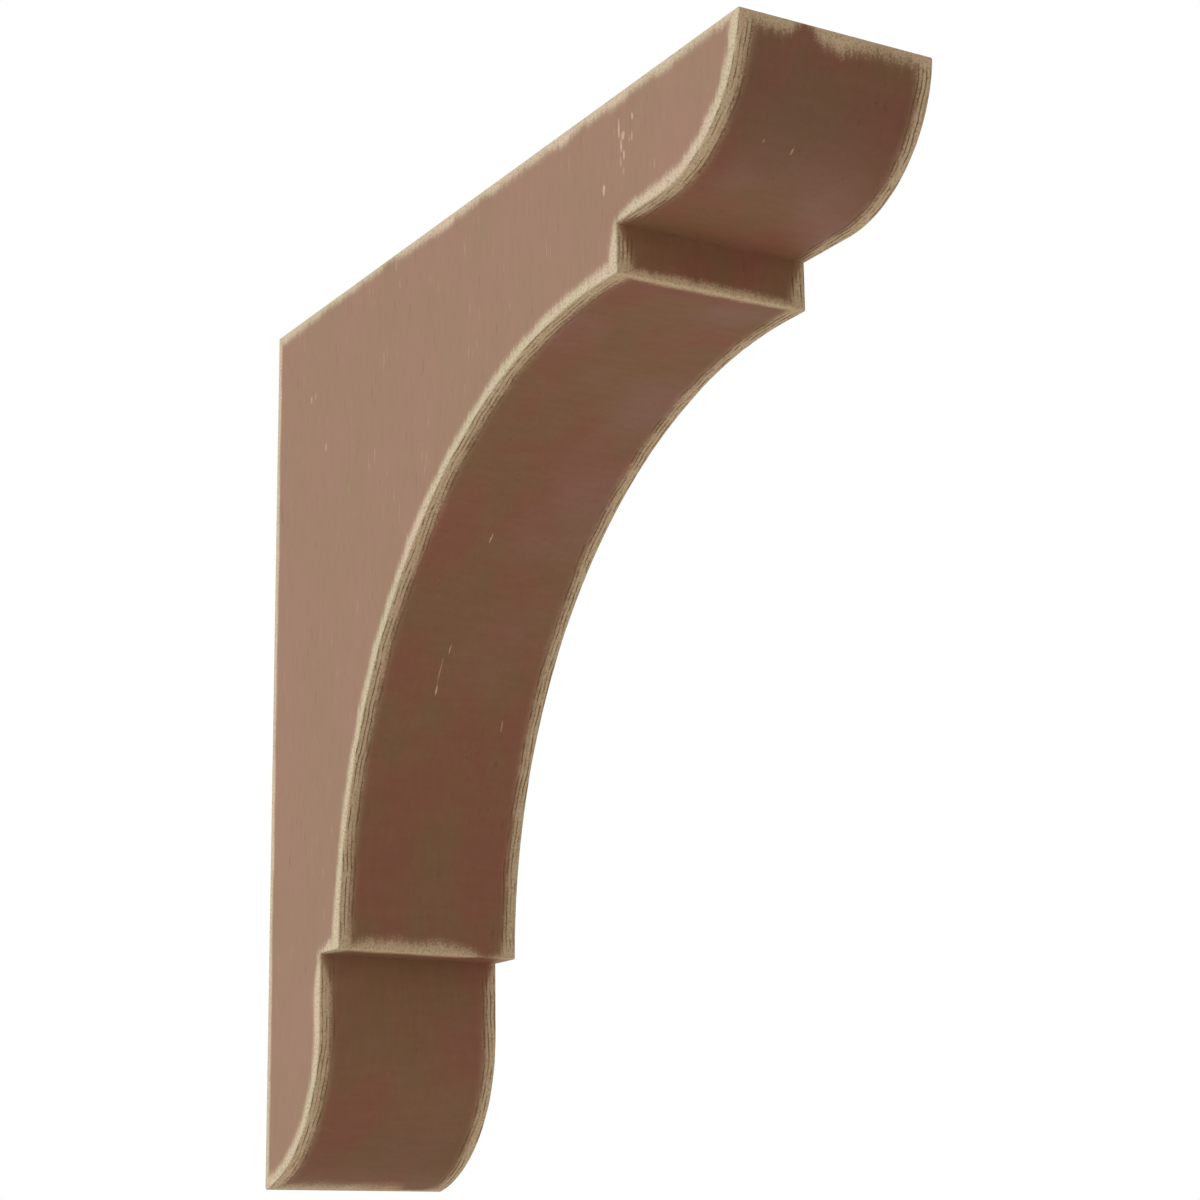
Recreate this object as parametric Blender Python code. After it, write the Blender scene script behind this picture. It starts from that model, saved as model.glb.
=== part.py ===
# A timber corbel bracket, sawn to its profile out of one solid block of wood.
# Its back stands against a wall and its top carries a shelf, counter or eave.
# Metres, +Z up. The origin is the centre of the back face, +Y points into the wall, and X runs across.

import math

import bmesh
import bpy
from mathutils import Vector

INCH = 0.0254

# The block
WIDTH = 3.5 * INCH
DEPTH = 16.0 * INCH
HEIGHT = 16.0 * INCH

# The wood that is left behind the cove, both under the top and in front of the wall
BAND = 2.91 * INCH

# The nose, which is the blunt rounded end under the shelf. The step is how far the band hangs below it.
NOSE_LENGTH = 3.5 * INCH
NOSE_STEP = 0.81 * INCH
NOSE_RADIUS = 2.28 * INCH

# The foot, which is the same form turned down the wall. It ends in a narrow flat toe.
FOOT_LENGTH = 3.94 * INCH
FOOT_STEP = 0.73 * INCH
FOOT_RADIUS = 2.66 * INCH
TOE = 0.06 * INCH

# The hand-eased edges
ARRIS = 0.04 * INCH
ARRIS_STEPS = 2
SHARP_ANGLE = math.radians(30.0)

# Flats in each curve
COVE_FACETS = 64
END_FACETS = 32

STAIN_COLOUR = (0.262, 0.146, 0.092, 1.0)
STAIN_ROUGHNESS = 0.55


def clear_scene():
    for thing in list(bpy.data.objects):
        bpy.data.objects.remove(thing)


def arc(centre, radius, start, end, facets):
    """Points on a circle from one angle to another, both ends included."""
    turns = [start + (end - start) * i / facets for i in range(facets + 1)]
    return [(centre[0] + radius * math.cos(t), centre[1] + radius * math.sin(t)) for t in turns]


def rounded_end(length, drop, radius):
    """The outline of a blunt end, as (run, height), from its shoulder (0, -drop) to its tip (length, 0).

    It runs flat, then turns up on an arc that is tangent to the flat. Where the radius is more than the
    drop, the tip cuts the arc short. Where it is less, the end goes on straight up. The length that there
    is to turn in limits the radius.
    """
    if length > drop:
        longest = (length**2 + drop**2) / (2.0 * drop)
    else:
        longest = length
    radius = min(radius, longest)
    centre_height = radius - drop
    over = max(centre_height, 0.0)
    centre_run = length - math.sqrt(radius**2 - over**2)
    turn = arc((centre_run, centre_height), radius, -math.pi / 2.0, -math.asin(over / radius), END_FACETS)
    return [(0.0, -drop)] + turn + [(length, 0.0)]


def without_repeats(points):
    """The same outline with no two neighbours in one place."""
    kept = [points[0]]
    for point in points[1:]:
        if math.dist(point, kept[-1]) > 1e-6:
            kept.append(point)
    if math.dist(kept[0], kept[-1]) < 1e-6:
        kept.pop()
    return kept


def bracket_outline():
    """The profile as (reach from the wall, height over the top face), from where the top meets the wall."""
    step_reach = DEPTH - NOSE_LENGTH
    step_fall = HEIGHT - FOOT_LENGTH
    cove_radius = min(step_reach, step_fall) - BAND
    cove_centre = (BAND + cove_radius, -BAND - cove_radius)
    cove = arc(cove_centre, cove_radius, math.pi / 2.0, math.pi, COVE_FACETS)

    nose_end = rounded_end(NOSE_LENGTH, BAND - NOSE_STEP, NOSE_RADIUS)
    nose = [(step_reach + run, height) for run, height in nose_end]
    foot_end = rounded_end(FOOT_LENGTH, BAND - FOOT_STEP - TOE, FOOT_RADIUS)
    foot = [(TOE - height, -step_fall - run) for run, height in foot_end]

    outline = [(0.0, 0.0)]
    outline += reversed(nose)
    outline += [(step_reach, -BAND)]
    outline += cove
    outline += [(BAND, -step_fall)]
    outline += foot
    outline += [(0.0, -HEIGHT)]
    return without_repeats(outline)


def block_from(outline):
    """The outline drawn on one cheek of the bracket and carried square across to the other."""
    mesh = bmesh.new()
    corners = [mesh.verts.new((-WIDTH / 2.0, -reach, HEIGHT / 2.0 + height)) for reach, height in outline]
    cheek = mesh.faces.new(corners)
    swept = bmesh.ops.extrude_face_region(mesh, geom=[cheek])
    moved = [item for item in swept["geom"] if isinstance(item, bmesh.types.BMVert)]
    bmesh.ops.translate(mesh, vec=Vector((WIDTH, 0.0, 0.0)), verts=moved)
    bmesh.ops.recalc_face_normals(mesh, faces=mesh.faces)
    return mesh


def mark_arrises(mesh):
    """Gives each sharp outer edge full bevel weight. The inner corners of the two steps stay crisp."""
    weight = mesh.edges.layers.float.new("bevel_weight_edge")
    for edge in mesh.edges:
        if edge.is_convex and edge.calc_face_angle(0.0) > SHARP_ANGLE:
            edge[weight] = 1.0


def stained_wood():
    material = bpy.data.materials.new("stained_wood")
    material.use_nodes = True
    shader = material.node_tree.nodes["Principled BSDF"]
    shader.inputs["Base Color"].default_value = STAIN_COLOUR
    shader.inputs["Roughness"].default_value = STAIN_ROUGHNESS
    shader.inputs["Metallic"].default_value = 0.0
    return material


def bracket():
    shape = block_from(bracket_outline())
    mark_arrises(shape)
    mesh = bpy.data.meshes.new("bracket")
    shape.to_mesh(mesh)
    shape.free()
    mesh.shade_smooth()
    mesh.set_sharp_from_angle(angle=SHARP_ANGLE)
    mesh.materials.append(stained_wood())
    thing = bpy.data.objects.new("bracket", mesh)
    bpy.context.scene.collection.objects.link(thing)
    ease = thing.modifiers.new("eased_arrises", "BEVEL")
    ease.limit_method = "WEIGHT"
    ease.width = ARRIS
    ease.segments = ARRIS_STEPS
    return thing


clear_scene()
bracket()
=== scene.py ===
# %% [markdown]
# # A wooden corbel bracket, stained brown and rubbed pale along its edges
# A corbel carries the end of a shelf, counter or eave on a wall. This one is sawn from a single thick
# board, with a rounded nose under the shelf, a quarter-round cove, and a rounded foot on the wall.
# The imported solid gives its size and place. The lesson makes the fine surface that is seen, and then
# its stain, wear and grain.

import math

import bmesh
import bpy
import numpy as np
from mathutils import Matrix, Vector


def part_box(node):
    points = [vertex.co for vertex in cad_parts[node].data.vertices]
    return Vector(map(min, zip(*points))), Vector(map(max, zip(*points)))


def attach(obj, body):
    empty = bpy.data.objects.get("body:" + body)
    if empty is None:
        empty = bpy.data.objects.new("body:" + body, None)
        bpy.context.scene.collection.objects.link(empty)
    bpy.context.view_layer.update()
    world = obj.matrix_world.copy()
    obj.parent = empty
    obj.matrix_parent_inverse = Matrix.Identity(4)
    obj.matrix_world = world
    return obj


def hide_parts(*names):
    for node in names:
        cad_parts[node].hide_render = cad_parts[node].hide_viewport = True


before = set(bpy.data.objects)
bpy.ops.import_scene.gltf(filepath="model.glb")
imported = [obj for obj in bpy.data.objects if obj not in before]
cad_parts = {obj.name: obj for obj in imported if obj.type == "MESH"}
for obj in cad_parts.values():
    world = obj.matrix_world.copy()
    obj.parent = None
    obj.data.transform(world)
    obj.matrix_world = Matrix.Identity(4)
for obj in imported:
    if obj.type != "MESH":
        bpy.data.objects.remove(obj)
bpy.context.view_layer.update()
low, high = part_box("bracket")
print("solid runs from", [round(v, 4) for v in low], "to", [round(v, 4) for v in high])

# %% [markdown]
# ## The camera
# The bracket is seen from its left and from a little below, as someone in the room sees it on the
# wall. The camera's place and turn are real sizes, in inches from the middle of the top back edge,
# and degrees. They come from lining up the corners of the real outline with their places in a frame
# of 1200 by 1200. The camera has no shift, so the object stays in the middle when another view is
# taken.

# %% Camera
INCH = 0.0254
HEIGHT = 16.0 * INCH
CAMERA_PLACE = np.array([-22.26, -46.22, -18.24]) * INCH
CAMERA_YAW = math.radians(30.85)
CAMERA_PITCH = math.radians(14.49)
CAMERA_ROLL = math.radians(0.78)
FRAME_PIXELS = 1200.0
FOCAL_PIXELS = 2769.0
SENSOR = 36.0


def aimed(place, yaw, pitch, roll):
    """Camera matrix. Yaw turns from +Y to +X, pitch lifts the view, and roll turns it about its own axis."""
    forward = Vector((math.sin(yaw) * math.cos(pitch), math.cos(yaw) * math.cos(pitch), math.sin(pitch)))
    right = Vector((math.cos(yaw), -math.sin(yaw), 0.0))
    down = forward.cross(right)
    turned_right = right * math.cos(roll) + down * math.sin(roll)
    turned_down = down * math.cos(roll) - right * math.sin(roll)
    turn = Matrix((turned_right, -turned_down, -forward)).transposed()
    return Matrix.Translation(Vector(place)) @ turn.to_4x4()


camera = bpy.data.objects.new("camera", bpy.data.cameras.new("camera"))
bpy.context.scene.collection.objects.link(camera)
camera.data.sensor_width = SENSOR
camera.data.lens = SENSOR * FOCAL_PIXELS / FRAME_PIXELS
camera.matrix_world = aimed(CAMERA_PLACE + [0.0, 0.0, HEIGHT / 2.0], CAMERA_YAW, CAMERA_PITCH, CAMERA_ROLL)
bpy.context.scene.camera = camera
print("lens of", round(camera.data.lens, 1), "mm, camera at", [round(v, 3) for v in camera.location])

# %% [markdown]
# ## The outline
# A sawyer sets this profile out on the board with a rule and a compass: straight stretches, and arcs
# of a circle. The same is done here. Each stretch is a row of points on a line or an arc, as reach
# from the wall and height over the top face. Where two stretches meet on an outer corner, the sharp
# wood is eased by a small arc. The two inner corners, under the nose and over the foot, are left as
# the saw and chisel left them.

# %% Driving sizes, the same as the solid's, and helpers for lines and arcs
WIDTH = 3.5 * INCH
DEPTH = 16.0 * INCH
BAND = 2.91 * INCH
NOSE_LENGTH = 3.5 * INCH
NOSE_DROP = BAND - 0.81 * INCH
NOSE_RADIUS = 2.28 * INCH
FOOT_LENGTH = 3.94 * INCH
FOOT_DEPTH = BAND - 0.73 * INCH
FOOT_RADIUS = 2.66 * INCH
TOE = 0.06 * INCH
EASE = 0.0009
FINE = 0.00015


def unit(v):
    """Row vectors of length one."""
    return v / np.linalg.norm(v, axis=-1, keepdims=True)


def line(start, end):
    """Points on the straight way from start to end, FINE apart."""
    start, end = np.array(start), np.array(end)
    count = max(int(np.linalg.norm(end - start) / FINE), 2)
    return start + np.linspace(0.0, 1.0, count)[:, None] * (end - start)


def arc(centre, radius, start, end):
    """Points at centre + radius * (cos, sin) of an angle that goes evenly from start to end."""
    angle = np.linspace(start, end, max(int(radius * abs(end - start) / FINE), 6))
    return np.array(centre) + radius * np.stack([np.cos(angle), np.sin(angle)], axis=1)


def eased(before, after, radius):
    """Rounds an outer corner. Both ways are cut back by radius * tan(turn / 2), and an arc joins them."""
    corner = after[0]
    come, go = unit(before[-1] - before[-2]), unit(after[1] - after[0])
    cross = come[0] * go[1] - come[1] * go[0]
    turn = math.atan2(abs(cross), float(come @ go))
    back = radius * math.tan(turn / 2.0)
    start = corner - come * back
    inward = math.copysign(1.0, cross) * np.array([-come[1], come[0]])
    centre = start + radius * inward
    first = math.atan2(*(start - centre)[::-1])
    bend = arc(centre, radius, first, first + math.copysign(turn, cross))
    before = before[np.linalg.norm(before - corner, axis=1) > back]
    after = after[np.linalg.norm(after - corner, axis=1) > back]
    return before, bend, after


print("the board is", round(WIDTH, 4), "m thick, and its corners are eased by", EASE, "m")

# %% The stretches, from the tip of the nose round the front to the toe, up the back and along the top
STEP_REACH = DEPTH - NOSE_LENGTH
STEP_FALL = HEIGHT - FOOT_LENGTH
COVE_RADIUS = min(STEP_REACH, STEP_FALL) - BAND
NOSE_RISE = NOSE_RADIUS - NOSE_DROP
NOSE_RUN = math.sqrt(NOSE_RADIUS**2 - NOSE_RISE**2)
FOOT_RISE = FOOT_RADIUS - (FOOT_DEPTH - TOE)
FOOT_RUN = math.sqrt(FOOT_RADIUS**2 - FOOT_RISE**2)
nose_centre = (DEPTH - NOSE_RUN, NOSE_RISE)
foot_centre = (TOE - FOOT_RISE, -HEIGHT + FOOT_RUN)

nose = arc(nose_centre, NOSE_RADIUS, -math.asin(NOSE_RISE / NOSE_RADIUS), -math.pi / 2.0)
soffit = line((nose_centre[0], -NOSE_DROP), (STEP_REACH, -NOSE_DROP))
riser = line((STEP_REACH, -NOSE_DROP), (STEP_REACH, -BAND))
ledge = line((STEP_REACH, -BAND), (BAND + COVE_RADIUS, -BAND))
cove = arc((BAND + COVE_RADIUS, -BAND - COVE_RADIUS), COVE_RADIUS, math.pi / 2.0, math.pi)
shoulder = line((BAND, -STEP_FALL), (FOOT_DEPTH, -STEP_FALL))
shin = line((FOOT_DEPTH, -STEP_FALL), (FOOT_DEPTH, foot_centre[1]))
foot = arc(foot_centre, FOOT_RADIUS, 0.0, -math.acos(FOOT_RISE / FOOT_RADIUS))
toe = line((TOE, -HEIGHT), (0.0, -HEIGHT))
back = line((0.0, -HEIGHT), (0.0, 0.0))
top = line((0.0, 0.0), (DEPTH, 0.0))

riser, step_edge, ledge = eased(riser, ledge, EASE)
cove, cove_edge, shoulder = eased(cove, shoulder, EASE)
toe, toe_edge, back = eased(toe, back, EASE)
back, back_edge, top = eased(back, top, EASE)
top, tip_edge, nose = eased(top, nose, EASE)

stretches = dict(nose=nose, soffit=soffit, riser=riser, step_edge=step_edge, ledge=ledge, cove=cove,
                 cove_edge=cove_edge, shoulder=shoulder, shin=shin, foot=foot, toe=toe, toe_edge=toe_edge,
                 back=back, back_edge=back_edge, top=top, tip_edge=tip_edge)
outline = np.concatenate(list(stretches.values()) + [nose[:1]])
gone = np.concatenate([[0.0], np.cumsum(np.linalg.norm(np.diff(outline, axis=0), axis=1))])
starts = np.cumsum([0] + [len(points) for points in stretches.values()])
mark = {name: gone[first] for name, first in zip(stretches, starts)}
ROUND = gone[-1]
print("the outline is", round(ROUND, 4), "m round, and its shaped front", round(mark["toe_edge"], 4), "m")

# %% [markdown]
# ## Samples along the outline
# The shaped front is sampled every couple of millimetres and more closely on each eased edge. The
# plain back and top get just as many samples, each paired with one on the front, because the flat
# cheeks are later ruled straight across from one to the other. The pairs are chosen so that the
# rulings fan round the elbow without crossing.

# %% Paired samples
SPACING = 0.0018
CLOSE = 0.0003
FRONT = ["nose", "soffit", "riser", "step_edge", "ledge", "cove",
         "cove_edge", "shoulder", "shin", "foot", "toe"]


def spaced(name, after):
    """Distances along one stretch, evenly spaced, without its last point, which the next stretch brings."""
    step = CLOSE if name.endswith("_edge") else SPACING
    count = max(int(math.ceil((mark[after] - mark[name]) / step)), 2)
    return np.linspace(mark[name], mark[after], count, endpoint=False)


front_gone = np.concatenate([spaced(name, after) for name, after in zip(FRONT, FRONT[1:] + ["toe_edge"])]
                            + [[mark["toe_edge"]]])
halfway = (mark["cove"] + mark["cove_edge"]) / 2.0
few = 4 * SPACING
elbow = ROUND - (mark["back_edge"] + mark["top"]) / 2.0
bend_half = (mark["top"] - mark["back_edge"]) / 2.0
tip_half = ROUND - mark["tip_edge"]
pairs = [
    (0.0, 0.0),
    (few, tip_half),
    (mark["riser"], NOSE_LENGTH),
    (mark["step_edge"], NOSE_LENGTH + 0.15 * INCH),
    (mark["cove"], NOSE_LENGTH + 0.5 * INCH),
    (halfway - few, elbow - bend_half),
    (halfway + few, elbow + bend_half),
    (mark["cove_edge"], elbow + STEP_FALL - 0.4 * INCH),
    (mark["shin"], elbow + STEP_FALL),
    (mark["toe_edge"] - few, ROUND - mark["back"]),
    (mark["toe_edge"], ROUND - mark["toe_edge"]),
]
back_gone = ROUND - np.interp(front_gone, *np.array(pairs).T)
ring_gone = np.concatenate([front_gone, back_gone[-2:0:-1]])
ring = np.stack([np.interp(ring_gone, gone, outline[:, axis]) for axis in (0, 1)], axis=1)
HALF = len(front_gone) - 1
print(len(ring), "samples round the outline,", HALF, "of them on the front")


def mitred_inward(points):
    """For each point of a closed ring, the step that moves both of its sides inwards by one.

    With n1 and n2 the unit normals of the side before and the side after, it is (n1 + n2) / (1 + n1 . n2).
    """
    side = unit(np.roll(points, -1, axis=0) - points)
    after = np.stack([side[:, 1], -side[:, 0]], axis=1)
    before = np.roll(after, 1, axis=0)
    return (before + after) / (1.0 + np.sum(before * after, axis=1, keepdims=True))


inward = mitred_inward(ring)

# %% [markdown]
# ## Tool marks beside the arrises
# Beside each long arris of the shaped front the sanding has followed the edge, and left a few shallow
# grooves that wander a little. They are real relief here, because they catch the light. One number
# says where a point is among them: its distance from the arris plus a slow wave along the bracket,
# counted in grooves. Its whole part is the groove's number, and its fraction is the place across that
# groove.

# %% Groove numbers and their depth
GROOVE_PITCH = 0.0019
GROOVE_DEPTH = 0.00028
GROOVES = 4.2
WAVES = [(0.00060, 31.0, 0.4), (0.00045, 83.0, 2.1), (0.00022, 211.0, 4.4), (0.00012, 467.0, 1.3)]


def wander(distance, hand):
    """The slow wave: a sum of size * sin(rate * distance + phase), with another phase on the other hand."""
    return sum(size * np.sin(rate * distance + phase + 1.7 * hand) for size, rate, phase in WAVES)


def groove_number(distance, from_arris, hand):
    """(from_arris + wander) / GROOVE_PITCH: a whole number for each groove, and the place across it."""
    return (from_arris + wander(distance, hand)) / GROOVE_PITCH


def fade(value, low, high):
    """0 under low, 1 over high, and 3t^2 - 2t^3 between."""
    t = np.clip((value - low) / (high - low), 0.0, 1.0)
    return t * t * (3.0 - 2.0 * t)


def groove_ends(distance):
    """1 along the grooves, fading to 0 at each corner of the outline, where they run out."""
    ends = fade(distance, 0.002, 0.006)
    for name in ("riser", "step_edge", "cove_edge", "shin", "toe_edge"):
        ends = ends * fade(np.abs(distance - mark[name]), 0.002, 0.007)
    return ends


def groove_depth(distance, from_arris, hand):
    """Depth of the marks: a valley (1 - |2f - 1|)^2 at the middle of each fraction f, faded at both ends."""
    number = groove_number(distance, from_arris, hand)
    valley = (1.0 - np.abs(2.0 * (number % 1.0) - 1.0)) ** 2
    across = fade(number, 0.1, 0.6) * (1.0 - fade(number, GROOVES - 0.7, GROOVES))
    return GROOVE_DEPTH * valley * across * groove_ends(distance)


print("about", round(GROOVES), "grooves,", GROOVE_PITCH, "m apart and", GROOVE_DEPTH, "m deep")

# %% [markdown]
# ## The surface
# The rim is one grid: samples round the outline by columns across the width. Its outer columns carry
# a quarter circle that eases the arris, the next ones are close together for the grooves, and the
# middle ones are wide apart. Each cheek is a second grid, ruled straight from the front samples to
# their partners on the back and top. The grids share their border points, so after merging the
# bracket is one closed skin.

# %% Rim grid
ARRIS = 0.0008
ARRIS_STEPS = 4
GROOVED = 0.0088
GROOVE_COLUMNS = 20
MIDDLE_COLUMNS = 24


def half_columns():
    """(place, inset) for the columns of the left half: the eased quarter circle, then the grooved strip."""
    angle = np.linspace(0.0, math.pi / 2.0, ARRIS_STEPS + 1)
    place = -WIDTH / 2.0 + ARRIS * (1.0 - np.cos(angle))
    inset = ARRIS * (1.0 - np.sin(angle))
    strip = -WIDTH / 2.0 + np.linspace(ARRIS, GROOVED, GROOVE_COLUMNS + 1)[1:]
    return np.concatenate([place, strip]), np.concatenate([inset, np.zeros(GROOVE_COLUMNS)])


def rim_grid():
    """Point (i, j) is ring point i moved in by column j's inset and the grooves' depth, at the column's x."""
    place, inset = half_columns()
    middle = np.linspace(place[-1], -place[-1], MIDDLE_COLUMNS + 1)[1:-1]
    across = np.concatenate([place, middle, -place[::-1]])
    insets = np.concatenate([inset, np.zeros(len(middle)), inset[::-1]])
    hand = np.where(across < 0.0, 0.0, 1.0)[None, :]
    depth = groove_depth(ring_gone[:, None], WIDTH / 2.0 - np.abs(across)[None, :], hand)
    depth[HALF + 1:] = 0.0
    moved = ring[:, None, :] + inward[:, None, :] * (insets[None, :] + depth)[:, :, None]
    x = np.broadcast_to(across[None, :], moved.shape[:2])
    return np.stack([x, -moved[:, :, 0], HEIGHT / 2.0 + moved[:, :, 1]], axis=2)


rim = rim_grid()
print("rim grid", rim.shape[:2])

# %% Cheek grids
EDGE_STRIP = 0.014
EDGE_COLUMNS = 12
PLAIN_COLUMNS = 8


def cheek_grid(edge):
    """Point (i, j) lies on the straight way from front sample i to its partner, at a share that grows with j.

    The columns are close together in a strip along both ends, which is at most a third of the way.
    """
    partner = (-np.arange(HALF + 1)) % len(edge)
    start, end = edge[:HALF + 1], edge[partner]
    way = np.maximum(np.linalg.norm(end - start, axis=1, keepdims=True), 1e-9)
    strip = np.minimum(EDGE_STRIP / way, 1.0 / 3.0)
    near = strip * np.linspace(0.0, 1.0, EDGE_COLUMNS + 1)[None, :]
    plain = strip + (1.0 - 2.0 * strip) * np.linspace(0.0, 1.0, PLAIN_COLUMNS + 1)[None, 1:-1]
    share = np.concatenate([near, plain, 1.0 - near[:, ::-1]], axis=1)
    return start[:, None, :] + share[:, :, None] * (end - start)[:, None, :]


left_cheek = cheek_grid(rim[:, 0])
right_cheek = cheek_grid(rim[:, -1])
print("cheek grids", left_cheek.shape[:2], right_cheek.shape[:2])


# %% Grids to one closed mesh
def grid_faces(rows, columns, closed, first):
    """Corner numbers of the quads of a grid whose points are numbered row by row from `first`."""
    i = np.arange(rows if closed else rows - 1)[:, None]
    j = np.arange(columns - 1)[None, :]
    following = (i + 1) % rows
    corners = [i * columns + j, following * columns + j, following * columns + j + 1, i * columns + j + 1]
    wide = [np.broadcast_to(c, (len(i), columns - 1)) for c in corners]
    return first + np.stack(wide, axis=2).reshape(-1, 4)


def closed_mesh(name, grids):
    """One mesh of (grid, closed) pairs, with doubles merged and every face turned outwards."""
    points = np.concatenate([grid.reshape(-1, 3) for grid, _ in grids])
    firsts = np.cumsum([0] + [grid.shape[0] * grid.shape[1] for grid, _ in grids])
    faces = np.concatenate([grid_faces(*grid.shape[:2], closed, first)
                            for (grid, closed), first in zip(grids, firsts)])
    mesh = bpy.data.meshes.new(name)
    mesh.from_pydata(points.tolist(), [], faces.tolist())
    shell = bmesh.new()
    shell.from_mesh(mesh)
    bmesh.ops.remove_doubles(shell, verts=shell.verts, dist=2e-6)
    bmesh.ops.dissolve_degenerate(shell, edges=shell.edges, dist=1e-7)
    bmesh.ops.recalc_face_normals(shell, faces=shell.faces)
    open_edges = sum(not edge.is_manifold for edge in shell.edges)
    shell.to_mesh(mesh)
    shell.free()
    mesh.shade_smooth()
    mesh.set_sharp_from_angle(angle=math.radians(40.0))
    print(name, "has", len(mesh.vertices), "points and", len(mesh.polygons), "faces")
    print(name, "has", open_edges, "open edges")
    return mesh


skin = closed_mesh("carved_bracket", [(rim, True), (left_cheek, False), (right_cheek, False)])

# %% [markdown]
# ## What the finish needs to know
# Stain is rubbed away by handling, and that follows the edges. So each point of the mesh is told how
# far it lies from the arrises, measured along the surface: from the shaped arris, the top edge, the
# back edge and the cross edges of the steps. The groove number and which points are on the flat
# cheeks are kept too. The material reads all these as attributes, so the wear stays on the edge
# wherever the object goes.

# %% Where each point of the mesh lies
FAR = 1.0
SKIN = 0.001
FLAT = 1e-4
count = len(skin.vertices)
place = np.empty(count * 3)
skin.vertices.foreach_get("co", place)
place = place.reshape(-1, 3)
reach, fall, across = -place[:, 1], HEIGHT / 2.0 - place[:, 2], np.abs(place[:, 0])
from_cheek = WIDTH / 2.0 - across
print(count, "points, at most", round(float(reach.max()), 4), "m from the wall")


# %% Nearest place on a path
def nearest_on(path, path_gone, points, batch=4000):
    """For each point, its distance from a path of short straight sides, and how far along it that is."""
    begin, side = path[:-1], np.diff(path, axis=0)
    size = np.sum(side**2, axis=1)
    distance, along = np.empty(len(points)), np.empty(len(points))
    for first in range(0, len(points), batch):
        part = points[first:first + batch, None, :] - begin[None]
        share = np.clip(np.sum(part * side[None], axis=2) / size, 0.0, 1.0)
        off = np.sum((part - share[:, :, None] * side[None]) ** 2, axis=2)
        best = np.argmin(off, axis=1)
        row = np.arange(len(best))
        distance[first:first + batch] = np.sqrt(off[row, best])
        along[first:first + batch] = path_gone[best] + share[row, best] * np.sqrt(size[best])
    return distance, along


def hill(distance, width):
    """1 at no distance, falling away as a bell: exp(-(distance / width)^2)."""
    return np.exp(-(distance / width) ** 2)


# %% Distances from the edges, where a share under one makes the rubbed band of that edge wider
EDGE_SHARES = (("step_edge", 1.3), ("cove_edge", 0.75), ("toe", 0.45))
flat = np.stack([reach, -fall], axis=1)
from_front, along = nearest_on(ring[:HALF + 1], ring_gone[:HALF + 1], flat)
on_cheek = fade(from_cheek, ARRIS, 0.2 * ARRIS)
on_rim = from_cheek > 0.5 * ARRIS
on_front = on_rim & (from_front < SKIN)
on_top = on_rim & (fall < FLAT)
on_back = on_rim & (reach < FLAT)
arris = from_front + from_cheek
top_edge = np.where(on_top, np.minimum(from_cheek, np.abs(DEPTH - reach)), fall)
back_edge = np.where(on_back, np.minimum(from_cheek, HEIGHT - fall), reach)
cross_edge = np.full(count, FAR)
for name, share in EDGE_SHARES:
    middle = mark[name] + EASE * math.pi / 4.0
    cross_edge = np.minimum(cross_edge, np.where(on_front, share * np.abs(along - middle), FAR))
hand = np.where(place[:, 0] < 0.0, 0.0, 1.0)
groove = groove_number(along, arris, hand)
print("shaped arris", round(float(arris.min()), 5), "to", round(float(arris.max()), 4), "m away")

# %% Handling: sandpaper leans on the outer corners and can't reach into the inner ones
OUTER_GAIN, OUTER_WIDTH = 0.35, 0.012
INNER_LOSS, INNER_WIDTH = 0.72, 0.008
handled = np.ones(count)
for name in ("nose", "step_edge", "cove_edge"):
    handled += OUTER_GAIN * hill(along - mark[name], OUTER_WIDTH)
for name in ("riser", "shin"):
    handled -= INNER_LOSS * hill(along - mark[name], INNER_WIDTH)
marked = np.where(on_front, groove_ends(along), 0.0)
print("handling from", round(float(handled.min()), 2), "to", round(float(handled.max()), 2))

# %% The blunt nose is rubbed further down than the cheeks, and here and there an edge was missed
NOSE_SHARE = 0.7
MISSED_NOSE = (-0.015, 0.005, 0.006)
MISSED_COVE = (0.029, 0.007, 0.005)
MISSED_CHEEK = (0.11, 0.03, 0.0018)
on_nose = on_front & (along < mark["soffit"])
top_edge = np.where(on_nose, top_edge * NOSE_SHARE, top_edge)
for edge, where, along_edge, (middle, width, missed) in (
        (top_edge, on_nose, place[:, 0], MISSED_NOSE),
        (cross_edge, on_front & (along > mark["cove"]), place[:, 0], MISSED_COVE),
        (top_edge, ~on_rim, reach, MISSED_CHEEK)):
    edge += where * missed * hill(along_edge - middle, width)
print("the nose has", int(on_nose.sum()), "points")

# %% How far the front faces down, for painted light from below, and the two rounded ends, made darker
NOSE_DARKENED_AT, NOSE_DARKENED_WIDTH = 0.032, 0.036
FOOT_DARKENED_AT, FOOT_DARKENED_WIDTH, FOOT_DARKENED_SHARE = 0.03, 0.025, 0.7
# How far each point of the front faces down. Only the painted light from below reads this.
upward = np.interp(along, ring_gone[:HALF + 1], inward[:HALF + 1, 1])
underside = np.where(on_front, np.clip(upward, 0.0, 1.0), 0.0)
# The front is made darker on the upper part of the nose, and a little less near the foot.
nose_darkened = hill(along - mark["nose"] - NOSE_DARKENED_AT, NOSE_DARKENED_WIDTH)
foot_darkened = hill(along - mark["toe"] + FOOT_DARKENED_AT, FOOT_DARKENED_WIDTH)
ends_darkened = on_front * (nose_darkened + FOOT_DARKENED_SHARE * foot_darkened)
attributes = dict(arris=arris, top_edge=top_edge, back_edge=back_edge, cross_edge=cross_edge, groove=groove,
                  cheek=on_cheek, handled=handled, marked=marked, underside=underside, ends_darkened=ends_darkened)
for name, values in attributes.items():
    layer = skin.attributes.new(name, "FLOAT", "POINT")
    layer.data.foreach_set("value", values.astype(np.float32))
print("attributes:", ", ".join(attributes))
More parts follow.
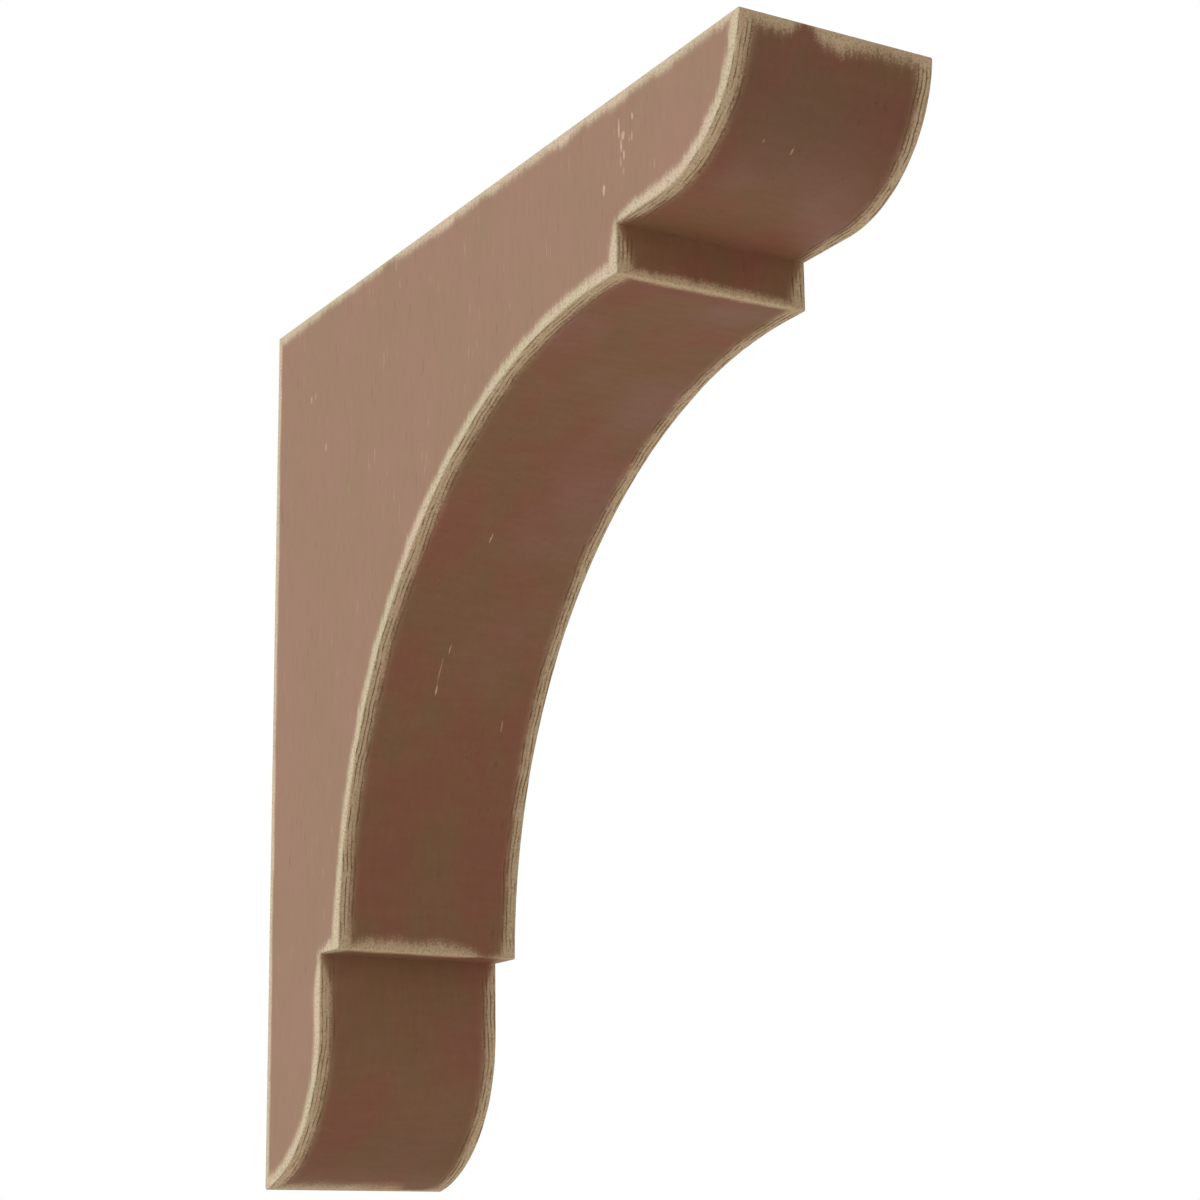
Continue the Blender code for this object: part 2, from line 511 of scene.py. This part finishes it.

# %% [markdown]
# ## The stained wood
# The board's grain stands upright, so every pattern in it is a noise that is stretched along Z. Flat
# cheeks planed along the grain took little stain, and the sawn front faces, where the grain is cut,
# drank more and went darker and redder. The cheeks' paler, greyer colour also holds a painted sheen.
# The rubbed edges are bare pale wood. Their border is ragged: it follows the grain like the teeth of a
# comb, and it breaks up into specks. A few small helpers keep the node graph readable.

# %% Helpers for a node graph
class Graph:
    """Adds nodes to a material. A number, a colour or another node's output can be any value."""

    def __init__(self, name):
        self.material = bpy.data.materials.new(name)
        self.material.use_nodes = True
        self.tree = self.material.node_tree
        self.shader = self.tree.nodes["Principled BSDF"]
        self.object = self.tree.nodes.new("ShaderNodeTexCoord").outputs["Object"]

    def feed(self, socket, value):
        if isinstance(value, bpy.types.NodeSocket):
            self.tree.links.new(value, socket)
        else:
            socket.default_value = value

    def attribute(self, name):
        node = self.tree.nodes.new("ShaderNodeAttribute")
        node.attribute_name = name
        return node.outputs["Fac"]

    def math(self, operation, *values, clamp=False):
        node = self.tree.nodes.new("ShaderNodeMath")
        node.operation = operation
        node.use_clamp = clamp
        for socket, value in zip(node.inputs, values):
            self.feed(socket, value)
        return node.outputs[0]

    def total(self, first, *others):
        for other in others:
            first = self.math("ADD", first, other)
        return first

    def less(self, first, other):
        return self.math("SUBTRACT", first, other)

    def times(self, first, *others):
        for other in others:
            first = self.math("MULTIPLY", first, other)
        return first

    def fade(self, value, low, high):
        """0 at low, 1 at high, with a smooth way between. Low may be the larger."""
        node = self.tree.nodes.new("ShaderNodeMapRange")
        node.interpolation_type = "SMOOTHSTEP"
        self.feed(node.inputs["Value"], value)
        if low < high:
            ends = (low, high, 0.0, 1.0)
        else:
            ends = (high, low, 1.0, 0.0)
        for name, end in zip(("From Min", "From Max", "To Min", "To Max"), ends):
            node.inputs[name].default_value = end
        return node.outputs["Result"]

    def noise(self, rates, detail=2.0, roughness=0.5, shift=(0.0, 0.0, 0.0)):
        """Soft random numbers about 0.5, that change so many times a metre along X, Y and Z."""
        mapping = self.tree.nodes.new("ShaderNodeMapping")
        self.feed(mapping.inputs["Vector"], self.object)
        mapping.inputs["Scale"].default_value = rates
        mapping.inputs["Location"].default_value = shift
        node = self.tree.nodes.new("ShaderNodeTexNoise")
        self.feed(node.inputs["Vector"], mapping.outputs["Vector"])
        node.inputs["Scale"].default_value = 1.0
        node.inputs["Detail"].default_value = detail
        node.inputs["Roughness"].default_value = roughness
        return node.outputs["Fac"]

    def swing(self, noise, size):
        """A noise made to swing from -size to +size or so."""
        return self.math("MULTIPLY_ADD", noise, 2.0 * size, -size)

    def mix(self, share, first, second):
        node = self.tree.nodes.new("ShaderNodeMix")
        node.data_type = "RGBA"
        self.feed(node.inputs["Factor"], share)
        self.feed(node.inputs["A"], first)
        self.feed(node.inputs["B"], second)
        return node.outputs["Result"]


def paint(red, green, blue, lit=1.0):
    """A colour as it is seen, 0 to 255, as the surface colour that gives it under a light that strong."""
    seen = np.array([red, green, blue]) / 255.0
    linear = np.where(seen <= 0.04045, seen / 12.92, ((seen + 0.055) / 1.055) ** 2.4)
    return tuple(float(v) for v in linear / lit) + (1.0,)


print("a mid grey as a surface colour is", round(paint(128, 128, 128)[0], 3))


# %% Grain, blotches and specks
CHEEK_LIGHT = 1.1
FRONT_LIGHT = 0.6

wood = Graph("stained_wood")
cheek = wood.attribute("cheek")
blotch = wood.noise((16.0, 16.0, 11.0), detail=2.0)
cloud = wood.noise((34.0, 34.0, 22.0), detail=3.0, shift=(3.1, 7.7, 1.9))
patch = wood.noise((75.0, 75.0, 45.0), detail=2.0, shift=(9.2, 0.3, 4.4))
grain = wood.noise((430.0, 430.0, 80.0), detail=2.0, roughness=0.6)
saw = wood.noise((60.0, 260.0, 260.0), detail=2.0, roughness=0.6, shift=(2.5, 6.2, 8.7))
comb = wood.noise((560.0, 560.0, 70.0), detail=3.0, roughness=0.65, shift=(5.5, 2.2, 0.7))
speck = wood.noise((950.0, 950.0, 1050.0), detail=2.0, roughness=0.7)
print("noises made, in", len(wood.tree.nodes), "nodes")

# %% Stain on the cheeks, with a painted sheen in their paler colour, and on the sawn front
CLOUD_SPLIT = (0.35, 0.65)
MAUVE_EVERYWHERE, PAINTED_BOUNCE_UNDER = 0.2, 0.8
# The cheek colours are paler and greyer than the front's, partly a painted sheen on the cheeks.
cheek_olive_with_sheen = paint(158, 127, 103, CHEEK_LIGHT)
cheek_rose_with_sheen = paint(161, 126, 106, CHEEK_LIGHT)
front_olive = paint(109, 79, 54, FRONT_LIGHT)
front_rust = paint(114, 73, 55, FRONT_LIGHT)
front_mauve_and_bounce = paint(118, 85, 71, FRONT_LIGHT)
cheek_stain_and_sheen = wood.mix(wood.fade(cloud, *CLOUD_SPLIT), cheek_olive_with_sheen, cheek_rose_with_sheen)
front_stain = wood.mix(wood.fade(cloud, 0.38, 0.62), front_olive, front_rust)
under = wood.attribute("underside")
# The paler mauve lies in blotches everywhere, and much more on faces that look down: that part is painted
# light from below.
mauve_and_bounce_share = wood.total(MAUVE_EVERYWHERE, wood.times(under, under, under, PAINTED_BOUNCE_UNDER))
mauve_and_bounce = wood.times(wood.fade(blotch, 0.45, 0.7), mauve_and_bounce_share)
front_stain = wood.mix(mauve_and_bounce, front_stain, front_mauve_and_bounce)
stain = wood.mix(cheek, front_stain, cheek_stain_and_sheen)
print("stain made, in", len(wood.tree.nodes), "nodes")

# %% Streaks of the grain, cross marks of the saw, and sparse short marks
STREAK, SAW_STREAK = 0.1, 0.12
PALE_MARK, DARK_MARK, ENDS_DARKER = 0.4, 0.3, 0.3
saw_streak = wood.times(wood.swing(saw, SAW_STREAK), wood.less(1.0, cheek))
streak = wood.total(wood.swing(grain, STREAK), saw_streak)
dark_streak, pale_streak = paint(84, 54, 40), paint(200, 170, 146)
stain = wood.mix(wood.math("MAXIMUM", wood.times(streak, -1.0), 0.0), stain, dark_streak)
stain = wood.mix(wood.math("MAXIMUM", wood.times(streak, 0.5), 0.0), stain, pale_streak)
pale_marks = wood.times(wood.fade(comb, 0.6, 0.74), wood.fade(patch, 0.48, 0.62), PALE_MARK)
dark_marks = wood.times(wood.fade(comb, 0.4, 0.28), wood.fade(patch, 0.52, 0.38), DARK_MARK)
stain = wood.mix(wood.times(pale_marks, cheek), stain, pale_streak)
# The nose and the foot are darkened here.
darker = wood.times(wood.attribute("ends_darkened"), ENDS_DARKER)
stain = wood.mix(wood.total(dark_marks, darker), stain, dark_streak)
print("streaks made, in", len(wood.tree.nodes), "nodes")

# %% [markdown]
# ## The rubbed edges
# Each edge has its own band of bare wood. A band is full where the distance from its edge is less
# than a width, and that width swings with the patches and the comb, each by so many millimetres. The
# border is half a soft fade and half grains of stain and bare wood, as sandpaper leaves it. The bands
# are joined by taking the strongest at each point.

# %% Bands of wear
MM = 0.001
# A noise seldom reaches its ends, so each one is given a wider swing to make up for it
PATCH_SWING, CLOUD_SWING, TOOTH_SWING, SPECK_SWING = 1.0, 1.2, 1.6, 2.0
GRAIN_BORDER = 0.4


def band(distance, width, patches, teeth, specks, feather):
    """1 near the edge and 0 away from it. All sizes are in mm, and the last is how soft the border is."""
    patchy = wood.swing(patch, patches * MM * PATCH_SWING)
    cloudy = wood.swing(cloud, patches * MM * CLOUD_SWING)
    slow = wood.total(patchy, cloudy)
    swing = wood.total(slow, wood.swing(comb, teeth * MM * TOOTH_SWING))
    left = wood.less(wood.total(wood.times(width, MM), swing), distance)
    soft = wood.fade(left, -feather * MM, feather * MM)
    left_by_grain = wood.total(left, wood.swing(speck, specks * MM * SPECK_SWING))
    grains = wood.fade(left_by_grain, -GRAIN_BORDER * MM, GRAIN_BORDER * MM)
    return wood.total(wood.times(soft, 0.5), wood.times(grains, 0.5))


from_arris = wood.attribute("arris")
handled = wood.attribute("handled")
on_cheek_band = band(from_arris, wood.times(handled, 4.9), 1.2, 1.6, 3.0, 3.0)
on_front_band = band(from_arris, wood.times(handled, 5.5), 0.8, 1.0, 2.2, 4.2)
arris_band = wood.total(wood.times(on_cheek_band, cheek), wood.times(on_front_band, wood.less(1.0, cheek)))
top_band = band(wood.attribute("top_edge"), 3.9, 2.4, 1.3, 3.2, 3.2)
back_band = band(wood.attribute("back_edge"), 3.9, 0.8, 0.6, 1.2, 1.8)
cross_band = band(wood.attribute("cross_edge"), 3.4, 1.8, 0.9, 3.4, 3.4)
worn = wood.math("MAXIMUM", wood.math("MAXIMUM", arris_band, top_band),
                 wood.math("MAXIMUM", back_band, cross_band))
print("bands made, in", len(wood.tree.nodes), "nodes")

# %% Bare wood
DULL_SPECKS, WHITE_SPECKS = 0.55, 0.6
bare_cream = paint(209, 196, 162, CHEEK_LIGHT)
bare_pink = paint(216, 194, 168, CHEEK_LIGHT)
bare_dull = paint(150, 132, 98, CHEEK_LIGHT)
bare_white = paint(228, 217, 184, CHEEK_LIGHT)
bare_tan = paint(170, 146, 116, FRONT_LIGHT)
bare = wood.mix(wood.fade(cloud, *CLOUD_SPLIT), bare_cream, bare_pink)
bare = wood.mix(cheek, bare_tan, bare)
bare = wood.mix(wood.times(wood.fade(speck, 0.52, 0.64), DULL_SPECKS), bare, bare_dull)
bare = wood.mix(wood.times(wood.fade(speck, 0.44, 0.34), WHITE_SPECKS), bare, bare_white)
print("bare wood made, in", len(wood.tree.nodes), "nodes")

# %% [markdown]
# ## Flecks and scratches
# Small knocks have taken the stain off in single flecks. Most lie along the grain high on the left
# cheek under the nose, and a few fine scratches run down the cove and the nose. Each one is a long
# soft spot at a place of its own, written in millimetres: reach from the wall and fall below the top,
# as before.

# %% Where the flecks and scratches are
CHEEK_FLECKS = [
    # reach, fall, half length, half width, strength
    (321.0, 15.5, 5.0, 0.9, 0.9),
    (324.0, 19.5, 2.2, 1.6, 1.0),
    (322.5, 23.0, 3.8, 1.0, 0.9),
    (324.5, 27.5, 2.6, 0.9, 0.9),
    (322.0, 29.5, 3.0, 0.8, 0.5),
    (324.0, 34.0, 2.2, 0.8, 0.4),
    (331.0, 14.0, 2.0, 0.9, 0.9),
    (330.5, 22.0, 2.2, 0.8, 0.7),
    (328.5, 22.5, 2.0, 0.7, 0.4),
    (309.0, 36.5, 3.0, 1.2, 1.0),
    (346.5, 39.5, 2.6, 0.7, 0.35),
    (39.0, 43.0, 2.4, 0.9, 0.8),
    (43.5, 42.5, 1.8, 0.8, 0.6),
    (55.5, 71.0, 2.4, 0.9, 0.8),
]
FRONT_SCRATCHES = [
    # place across, reach, fall, half length, half width, lean in degrees, strength
    (-9.0, 150.5, 134.0, 2.8, 0.45, 45, 0.8),
    (-10.0, 114.0, 176.0, 3.2, 0.4, 34, 0.7),
    (-12.0, 108.0, 185.0, 7.5, 0.4, 31, 0.45),
    (-11.5, 103.5, 193.0, 3.0, 0.5, 29, 0.85),
    (25.0, 97.5, 204.5, 3.2, 0.45, 25, 0.45),
    (-7.0, 384.0, 41.5, 2.0, 0.5, 52, 0.6),
    (-20.5, 385.5, 40.5, 1.2, 0.4, 52, 0.4),
]
print(len(CHEEK_FLECKS), "flecks and", len(FRONT_SCRATCHES), "scratches")

# %% Flecks and scratches in the material
THROUGH = 2.0
LEFT_CHEEK = -WIDTH / 2.0 / MM
FLECK_RAGGED = 0.7


def fleck(middle, half, lean, strength):
    """A spot with the given middle and half sizes in mm, turned about X, full inside and ragged outside."""
    across, reach_out, fall_down = middle
    local = wood.tree.nodes.new("ShaderNodeMapping")
    local.vector_type = "TEXTURE"
    wood.feed(local.inputs["Vector"], wood.object)
    local.inputs["Location"].default_value = (across * MM, -reach_out * MM, HEIGHT / 2.0 - fall_down * MM)
    local.inputs["Rotation"].default_value = (math.radians(lean), 0.0, 0.0)
    local.inputs["Scale"].default_value = [size * MM for size in half]
    way = wood.tree.nodes.new("ShaderNodeVectorMath")
    way.operation = "LENGTH"
    wood.feed(way.inputs[0], local.outputs["Vector"])
    ragged = wood.total(way.outputs["Value"], wood.swing(speck, FLECK_RAGGED))
    return wood.times(wood.fade(ragged, 1.0, 0.5), strength)


knocks = 0.0
for out, down, long, wide, strength in CHEEK_FLECKS:
    spot = fleck((LEFT_CHEEK, out, down), (THROUGH, wide, long), 0.0, strength)
    knocks = wood.math("MAXIMUM", knocks, spot)
for across_mm, out, down, long, wide, lean, strength in FRONT_SCRATCHES:
    spot = fleck((across_mm, out, down), (wide, THROUGH, long), lean, strength)
    knocks = wood.math("MAXIMUM", knocks, spot)
scratch_tan = paint(176, 146, 118, FRONT_LIGHT)
fleck_pink = paint(206, 170, 148, CHEEK_LIGHT)
fleck_colour = wood.mix(cheek, scratch_tan, fleck_pink)
print("flecks made, in", len(wood.tree.nodes), "nodes")

# %% Dark wood left in the grooves
broken = wood.noise((420.0, 120.0, 90.0), detail=2.0)
groove_at = wood.total(wood.attribute("groove"), wood.swing(comb, 0.16), wood.swing(speck, 0.22))
off_middle = wood.math("ABSOLUTE", wood.less(wood.math("FRACT", groove_at), 0.5))
valley = wood.fade(off_middle, 0.24, 0.06)
grooved = wood.times(valley, wood.fade(groove_at, 0.2, 0.5), wood.fade(groove_at, GROOVES, GROOVES - 0.4),
                     wood.attribute("marked"), wood.fade(broken, 0.36, 0.6))
groove_dirt = paint(92, 66, 40, FRONT_LIGHT)
print("grooves made, in", len(wood.tree.nodes), "nodes")

# %% All the colours, laid over each other
FLECK_SHARE, WORN_SHARE, DIRT_SHARE = 0.9, 0.92, 0.85
colour = wood.mix(wood.times(knocks, FLECK_SHARE), stain, fleck_colour)
colour = wood.mix(wood.times(worn, WORN_SHARE), colour, bare)
colour = wood.mix(wood.times(grooved, DIRT_SHARE), colour, groove_dirt)
wood.feed(wood.shader.inputs["Base Color"], colour)
print("bare wood covers the stain by", WORN_SHARE)

# %% Sheen, roughness and bump
STAIN_ROUGHNESS, BARE_ROUGHER, GRAIN_ROUGHER = 0.62, 0.12, 0.06
BUMP_STRENGTH, BUMP_DISTANCE = 0.6, 0.0002
wood.shader.inputs["Specular IOR Level"].default_value = 0.15
rough = wood.total(STAIN_ROUGHNESS, wood.times(worn, BARE_ROUGHER), wood.swing(grain, GRAIN_ROUGHER))
wood.feed(wood.shader.inputs["Roughness"], rough)
height = wood.total(wood.times(grain, 0.6), wood.times(speck, wood.total(0.2, wood.times(worn, 0.6))),
                    wood.times(worn, -0.8), wood.times(grooved, -1.2))
bump = wood.tree.nodes.new("ShaderNodeBump")
bump.inputs["Strength"].default_value = BUMP_STRENGTH
bump.inputs["Distance"].default_value = BUMP_DISTANCE
wood.feed(bump.inputs["Height"], height)
wood.feed(wood.shader.inputs["Normal"], bump.outputs["Normal"])
print("bump is", BUMP_DISTANCE, "m at most")

# %% The piece in its place
bracket = bpy.data.objects.new("carved_bracket", skin)
bpy.context.scene.collection.objects.link(bracket)
skin.materials.append(wood.material)
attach(bracket, "root")
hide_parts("bracket")
print("the material has", len(wood.tree.nodes), "nodes")

# %% [markdown]
# ## Light and floor
# The near cheek is bright and even, so the key light is a soft sun from the left. The rest is the
# light of a white room. The room is seen white, but it lights the object with about half of that, so
# the shaped front stays in a gentle shade. The floor is a pale sheet as far below as a real one is
# under a shelf bracket, and the light that it throws back up brightens the underside of the nose and
# the cove a little. More light from below is painted into the colour of those undersides, as a paler
# mauve.

# %% World and sun
ROOM_LIGHT = 0.465
SUN_LIGHT = 1.95
SUN_TOWARDS = (1.0, -0.05, -0.45)
SUN_SPREAD = 20.0


def white_room(strength):
    """A world that the camera sees as white, and that lights the object with the given strength."""
    world = bpy.data.worlds.new("room")
    world.use_nodes = True
    nodes, links = world.node_tree.nodes, world.node_tree.links
    background = nodes["Background"]
    background.inputs["Color"].default_value = (1.0, 1.0, 1.0, 1.0)
    seen = nodes.new("ShaderNodeLightPath").outputs["Is Camera Ray"]
    level = nodes.new("ShaderNodeMapRange")
    links.new(seen, level.inputs["Value"])
    level.inputs["To Min"].default_value = strength
    level.inputs["To Max"].default_value = 1.0
    links.new(level.outputs["Result"], background.inputs["Strength"])
    bpy.context.scene.world = world


def soft_sun(name, towards, strength, spread):
    """A sun whose light travels along the given direction, with soft shadows of that spread in degrees."""
    sun = bpy.data.objects.new(name, bpy.data.lights.new(name, "SUN"))
    sun.data.energy = strength
    sun.data.angle = math.radians(spread)
    sun.rotation_euler = Vector(towards).to_track_quat("-Z", "Y").to_euler()
    bpy.context.scene.collection.objects.link(sun)
    return sun


white_room(ROOM_LIGHT)
soft_sun("key", SUN_TOWARDS, SUN_LIGHT, SUN_SPREAD)
print("room light", ROOM_LIGHT, "and sun", SUN_LIGHT)

# %% Floor
FLOOR_FALL = 1.8
FLOOR_SIDE = 14.0
FLOOR_COLOUR = (0.95, 0.945, 0.93, 1.0)
FLOOR_ROUGHNESS = 0.9
floor_mesh = bpy.data.meshes.new("floor")
corner = FLOOR_SIDE / 2.0
floor_mesh.from_pydata([(-corner, -corner, -FLOOR_FALL), (corner, -corner, -FLOOR_FALL),
                        (corner, corner, -FLOOR_FALL), (-corner, corner, -FLOOR_FALL)], [], [(0, 1, 2, 3)])
floor = bpy.data.objects.new("floor", floor_mesh)
bpy.context.scene.collection.objects.link(floor)
pale = bpy.data.materials.new("pale_floor")
pale.use_nodes = True
pale.node_tree.nodes["Principled BSDF"].inputs["Base Color"].default_value = FLOOR_COLOUR
pale.node_tree.nodes["Principled BSDF"].inputs["Roughness"].default_value = FLOOR_ROUGHNESS
floor_mesh.materials.append(pale)
bpy.context.scene.view_settings.view_transform = "Standard"
print("floor", FLOOR_FALL, "m below the bracket's middle")
